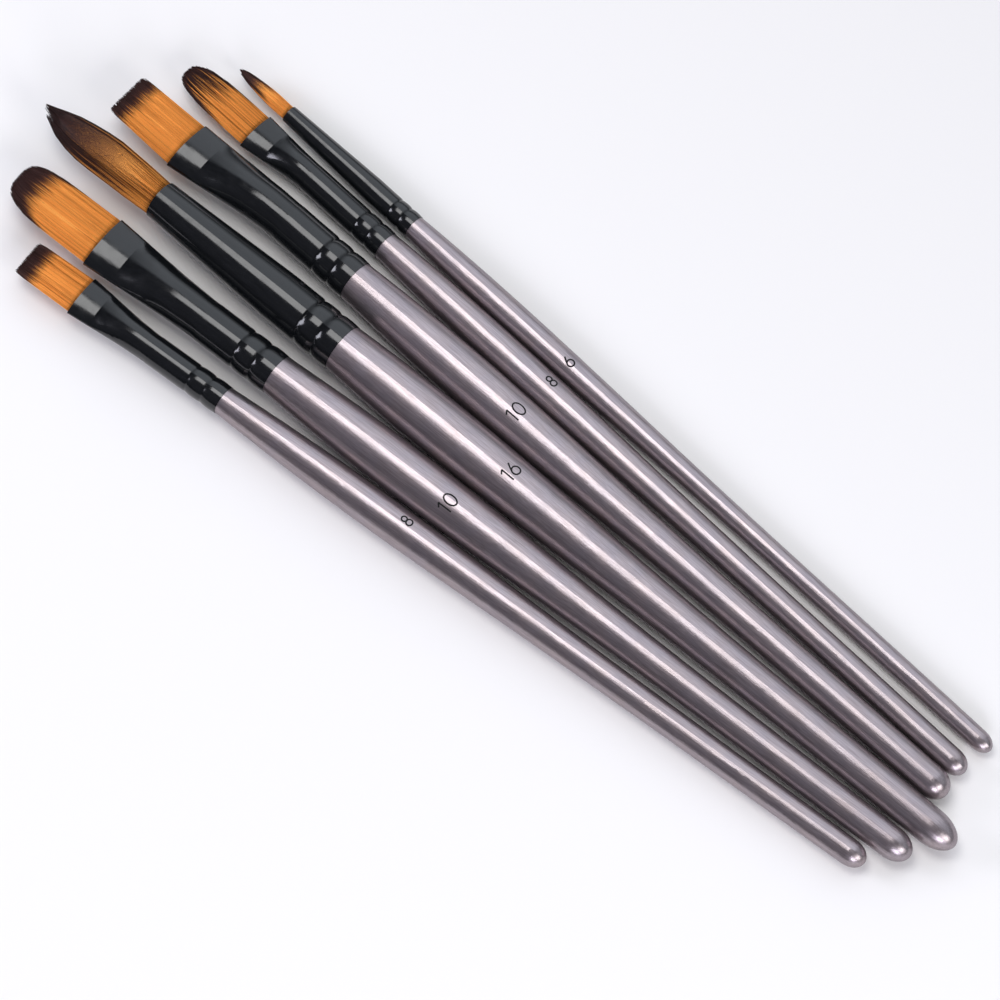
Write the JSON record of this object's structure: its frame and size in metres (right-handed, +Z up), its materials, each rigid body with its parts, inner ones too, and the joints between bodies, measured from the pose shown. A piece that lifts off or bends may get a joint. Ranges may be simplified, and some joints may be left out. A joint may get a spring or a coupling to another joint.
{
  "type": "artist's paint brush set",
  "caption": "Artist's paint brushes laid in a fan: flat, filbert and round tufts in crimped black ferrules on tapered long wooden handles.",
  "frame": {"origin": "centre of the fan's bounding box, on the table", "axes": "+X runs along the largest brush from its tuft to its handle's rounded end, +Z up, +Y across the fan towards the smallest round"},
  "size_m": [0.3004, 0.0814, 0.0154],
  "materials": {
    "lacquered_handle": "pearlescent taupe lacquer over turned hardwood, satin gloss",
    "black_ferrule": "gloss black, seamless drawn tube",
    "filament": "tapered synthetic filament, golden brown with dark brown tips",
    "resin": "clear amber setting resin"
  },
  "bodies": {
    "flat_8": {"flat_8_handle": "lacquered_handle", "flat_8_ferrule": "black_ferrule", "flat_8_tuft_root": "filament", "flat_8_glue_plug": "resin"},
    "flat_8_tuft": {"flat_8_tuft": "filament"},
    "filbert_10": {"filbert_10_handle": "lacquered_handle", "filbert_10_ferrule": "black_ferrule", "filbert_10_tuft_root": "filament", "filbert_10_glue_plug": "resin"},
    "filbert_10_tuft": {"filbert_10_tuft": "filament"},
    "round_16": {"round_16_handle": "lacquered_handle", "round_16_ferrule": "black_ferrule", "round_16_tuft_root": "filament", "round_16_glue_plug": "resin"},
    "round_16_tuft": {"round_16_tuft": "filament"},
    "flat_10": {"flat_10_handle": "lacquered_handle", "flat_10_ferrule": "black_ferrule", "flat_10_tuft_root": "filament", "flat_10_glue_plug": "resin"},
    "flat_10_tuft": {"flat_10_tuft": "filament"},
    "filbert_8": {"filbert_8_handle": "lacquered_handle", "filbert_8_ferrule": "black_ferrule", "filbert_8_tuft_root": "filament", "filbert_8_glue_plug": "resin"},
    "filbert_8_tuft": {"filbert_8_tuft": "filament"},
    "round_6": {"round_6_handle": "lacquered_handle", "round_6_ferrule": "black_ferrule", "round_6_tuft_root": "filament", "round_6_glue_plug": "resin"},
    "round_6_tuft": {"round_6_tuft": "filament"}
  },
  "joints": [
    {"name": "flat_8_lift", "type": "slide", "parent": "round_16", "child": "flat_8", "axis": [0, 0, 1], "range_m": [0, 0.04]},
    {"name": "flat_8_tuft_flex", "type": "hinge", "parent": "flat_8", "child": "flat_8_tuft", "pos_m": [-0.10913, -0.03477, 0.00593], "axis": [-0.0604, 0.9982, 0], "range_deg": [-10, 40], "stiffness_Nm_per_rad": 0.012, "deforming": ["flat_8_tuft"]},
    {"name": "filbert_10_lift", "type": "slide", "parent": "round_16", "child": "filbert_10", "axis": [0, 0, 1], "range_m": [0, 0.04]},
    {"name": "filbert_10_tuft_flex", "type": "hinge", "parent": "filbert_10", "child": "filbert_10_tuft", "pos_m": [-0.11418, -0.02088, 0.00825], "axis": [-0.0346, 0.9994, 0], "range_deg": [-10, 40], "stiffness_Nm_per_rad": 0.02, "deforming": ["filbert_10_tuft"]},
    {"name": "round_16_tuft_flex", "type": "hinge", "parent": "round_16", "child": "round_16_tuft", "pos_m": [-0.11063, -0.00285, 0.00929], "axis": [0, 1, 0], "range_deg": [-10, 40], "stiffness_Nm_per_rad": 0.03, "deforming": ["round_16_tuft"]},
    {"name": "flat_10_lift", "type": "slide", "parent": "round_16", "child": "flat_10", "axis": [0, 0, 1], "range_m": [0, 0.04]},
    {"name": "flat_10_tuft_flex", "type": "hinge", "parent": "flat_10", "child": "flat_10_tuft", "pos_m": [-0.11586, 0.01298, 0.00822], "axis": [0.0354, 0.9994, 0], "range_deg": [-10, 40], "stiffness_Nm_per_rad": 0.022, "deforming": ["flat_10_tuft"]},
    {"name": "filbert_8_lift", "type": "slide", "parent": "round_16", "child": "filbert_8", "axis": [0, 0, 1], "range_m": [0, 0.04]},
    {"name": "filbert_8_tuft_flex", "type": "hinge", "parent": "filbert_8", "child": "filbert_8_tuft", "pos_m": [-0.10598, 0.02828, 0.00567], "axis": [0.0621, 0.9981, 0], "range_deg": [-10, 40], "stiffness_Nm_per_rad": 0.012, "deforming": ["filbert_8_tuft"]},
    {"name": "round_6_lift", "type": "slide", "parent": "round_16", "child": "round_6", "axis": [0, 0, 1], "range_m": [0, 0.04]},
    {"name": "round_6_tuft_flex", "type": "hinge", "parent": "round_6", "child": "round_6_tuft", "pos_m": [-0.10303, 0.03796, 0.00449], "axis": [0.0631, 0.998, 0], "range_deg": [-10, 40], "stiffness_Nm_per_rad": 0.004, "deforming": ["round_6_tuft"]}
  ]
}
